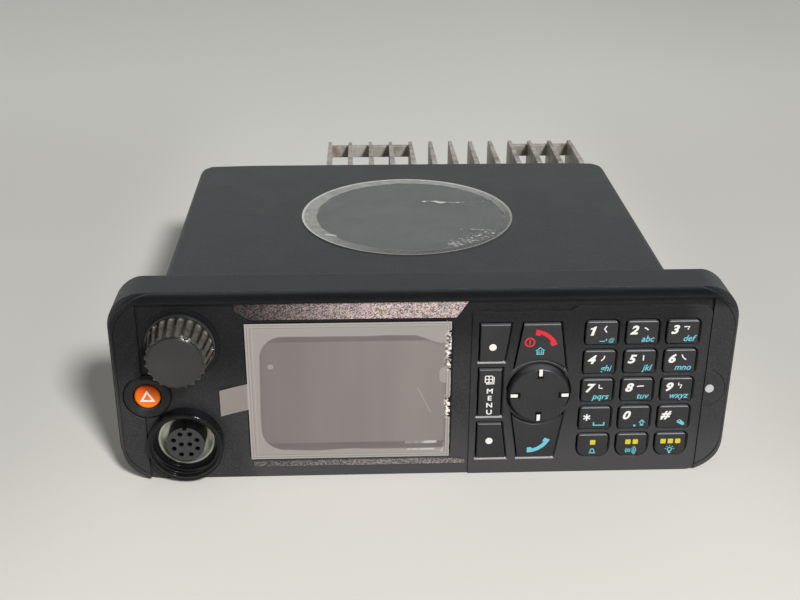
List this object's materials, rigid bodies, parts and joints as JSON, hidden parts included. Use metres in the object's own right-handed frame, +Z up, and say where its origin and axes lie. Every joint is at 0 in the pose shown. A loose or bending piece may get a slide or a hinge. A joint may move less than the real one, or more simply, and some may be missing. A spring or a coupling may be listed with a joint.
{
  "type": "two-way radio repeater",
  "caption": "Vehicle and desk two-way radio: wide control head with display, keypad, tilt disc, push-and-turn knob and microphone socket on a finned transceiver body.",
  "frame": {"origin": "middle of the footprint on the standing plane", "axes": "+X to the right seen from the front, +Y from the front to the back, +Z up"},
  "size_m": [0.188, 0.2138, 0.062],
  "materials": {
    "black_plastic": "fine matte",
    "key_plastic": "satin",
    "gloss_plastic": "gloss",
    "orange_plastic": "satin",
    "led_lens": "frosted",
    "glitter_trim": "metal flake",
    "window": "clear",
    "film": "clear film",
    "lcd": "matte",
    "rubber": "matte",
    "board": "solder mask",
    "steel": "plain",
    "nickel": "dull nickel",
    "insert_plastic": "matte",
    "cast_aluminium": "bare casting",
    "cover": "satin black paint",
    "badge": "satin grey"
  },
  "bodies": {
    "radio": {"head_bezel": "black_plastic", "head_rear_housing": "black_plastic", "head_gasket": "rubber", "left_end_cap": "black_plastic", "right_end_cap": "black_plastic", "emergency_ring": "gloss_plastic", "led_insert": "black_plastic", "status_led_lens": "led_lens", "trim_strips": "glitter_trim", "display_window": "window", "display_film": "film", "lcd_module": "lcd", "lcd_gasket": "rubber", "head_board": "board", "key_domes": "steel", "mic_socket_boss": "gloss_plastic", "mic_socket_shell": "nickel", "mic_socket_insert": "insert_plastic", "encoder_body": "steel", "head_screws": "steel", "head_connector": "insert_plastic", "nav_switch": "insert_plastic", "chassis": "cast_aluminium", "top_cover": "cover", "cover_gasket": "rubber", "top_badge": "badge", "badge_film": "film", "main_board": "board", "rf_shield": "steel", "antenna_socket": "nickel", "power_socket": "insert_plastic", "accessory_socket": "nickel", "cover_screws": "steel", "inner_screws": "steel"},
    "key_1_body": {"key_1": "key_plastic"},
    "key_2_body": {"key_2": "key_plastic"},
    "key_3_body": {"key_3": "key_plastic"},
    "key_4_body": {"key_4": "key_plastic"},
    "key_5_body": {"key_5": "key_plastic"},
    "key_6_body": {"key_6": "key_plastic"},
    "key_7_body": {"key_7": "key_plastic"},
    "key_8_body": {"key_8": "key_plastic"},
    "key_9_body": {"key_9": "key_plastic"},
    "key_star_body": {"key_star": "key_plastic"},
    "key_0_body": {"key_0": "key_plastic"},
    "key_hash_body": {"key_hash": "key_plastic"},
    "function_key_1_body": {"function_key_1": "key_plastic"},
    "function_key_2_body": {"function_key_2": "key_plastic"},
    "function_key_3_body": {"function_key_3": "key_plastic"},
    "soft_key_upper_body": {"soft_key_upper": "key_plastic"},
    "soft_key_lower_body": {"soft_key_lower": "key_plastic"},
    "menu_key_body": {"menu_key": "key_plastic"},
    "end_key_body": {"end_key": "key_plastic"},
    "send_key_body": {"send_key": "key_plastic"},
    "emergency_body": {"emergency_button": "orange_plastic"},
    "encoder_push": {"encoder_plunger": "insert_plastic"},
    "knob": {"volume_knob": "gloss_plastic", "knob_shaft": "steel"},
    "nav_ball": {"nav_pivot": "steel"},
    "nav": {"nav_disc": "key_plastic"}
  },
  "joints": [
    {"name": "key_1_press", "type": "slide", "parent": "radio", "child": "key_1_body", "axis": [0, 1, 0], "range_m": [0, 0.0007], "stiffness_N_per_m": 1500},
    {"name": "key_2_press", "type": "slide", "parent": "radio", "child": "key_2_body", "axis": [0, 1, 0], "range_m": [0, 0.0007], "stiffness_N_per_m": 1500},
    {"name": "key_3_press", "type": "slide", "parent": "radio", "child": "key_3_body", "axis": [0, 1, 0], "range_m": [0, 0.0007], "stiffness_N_per_m": 1500},
    {"name": "key_4_press", "type": "slide", "parent": "radio", "child": "key_4_body", "axis": [0, 1, 0], "range_m": [0, 0.0007], "stiffness_N_per_m": 1500},
    {"name": "key_5_press", "type": "slide", "parent": "radio", "child": "key_5_body", "axis": [0, 1, 0], "range_m": [0, 0.0007], "stiffness_N_per_m": 1500},
    {"name": "key_6_press", "type": "slide", "parent": "radio", "child": "key_6_body", "axis": [0, 1, 0], "range_m": [0, 0.0007], "stiffness_N_per_m": 1500},
    {"name": "key_7_press", "type": "slide", "parent": "radio", "child": "key_7_body", "axis": [0, 1, 0], "range_m": [0, 0.0007], "stiffness_N_per_m": 1500},
    {"name": "key_8_press", "type": "slide", "parent": "radio", "child": "key_8_body", "axis": [0, 1, 0], "range_m": [0, 0.0007], "stiffness_N_per_m": 1500},
    {"name": "key_9_press", "type": "slide", "parent": "radio", "child": "key_9_body", "axis": [0, 1, 0], "range_m": [0, 0.0007], "stiffness_N_per_m": 1500},
    {"name": "key_star_press", "type": "slide", "parent": "radio", "child": "key_star_body", "axis": [0, 1, 0], "range_m": [0, 0.0007], "stiffness_N_per_m": 1500},
    {"name": "key_0_press", "type": "slide", "parent": "radio", "child": "key_0_body", "axis": [0, 1, 0], "range_m": [0, 0.0007], "stiffness_N_per_m": 1500},
    {"name": "key_hash_press", "type": "slide", "parent": "radio", "child": "key_hash_body", "axis": [0, 1, 0], "range_m": [0, 0.0007], "stiffness_N_per_m": 1500},
    {"name": "function_key_1_press", "type": "slide", "parent": "radio", "child": "function_key_1_body", "axis": [0, 1, 0], "range_m": [0, 0.0007], "stiffness_N_per_m": 1500},
    {"name": "function_key_2_press", "type": "slide", "parent": "radio", "child": "function_key_2_body", "axis": [0, 1, 0], "range_m": [0, 0.0007], "stiffness_N_per_m": 1500},
    {"name": "function_key_3_press", "type": "slide", "parent": "radio", "child": "function_key_3_body", "axis": [0, 1, 0], "range_m": [0, 0.0007], "stiffness_N_per_m": 1500},
    {"name": "soft_key_upper_press", "type": "slide", "parent": "radio", "child": "soft_key_upper_body", "axis": [0, 1, 0], "range_m": [0, 0.0007], "stiffness_N_per_m": 1500},
    {"name": "soft_key_lower_press", "type": "slide", "parent": "radio", "child": "soft_key_lower_body", "axis": [0, 1, 0], "range_m": [0, 0.0007], "stiffness_N_per_m": 1500},
    {"name": "menu_key_press", "type": "slide", "parent": "radio", "child": "menu_key_body", "axis": [0, 1, 0], "range_m": [0, 0.0007], "stiffness_N_per_m": 1500},
    {"name": "end_key_press", "type": "slide", "parent": "radio", "child": "end_key_body", "axis": [0, 1, 0], "range_m": [0, 0.0007], "stiffness_N_per_m": 1500},
    {"name": "send_key_press", "type": "slide", "parent": "radio", "child": "send_key_body", "axis": [0, 1, 0], "range_m": [0, 0.0007], "stiffness_N_per_m": 1500},
    {"name": "emergency_press", "type": "slide", "parent": "radio", "child": "emergency_body", "axis": [0, 1, 0], "range_m": [0, 0.001], "stiffness_N_per_m": 2000},
    {"name": "knob_push", "type": "slide", "parent": "radio", "child": "encoder_push", "axis": [0, 1, 0], "range_m": [0, 0.0005], "stiffness_N_per_m": 4000},
    {"name": "knob_turn", "type": "hinge", "parent": "encoder_push", "child": "knob", "pos_m": [-0.0726, -0.0959, 0.0466], "axis": [0, 1, 0], "continuous": true},
    {"name": "nav_tilt_vertical", "type": "hinge", "parent": "radio", "child": "nav_ball", "pos_m": [0.0342, -0.0915, 0.02895], "axis": [1, 0, 0], "range_deg": [-3, 3], "stiffness_Nm_per_rad": 0.25},
    {"name": "nav_tilt_sideways", "type": "hinge", "parent": "nav_ball", "child": "nav", "pos_m": [0.0342, -0.0915, 0.02895], "axis": [0, 0, 1], "range_deg": [-3, 3], "stiffness_Nm_per_rad": 0.25}
  ]
}
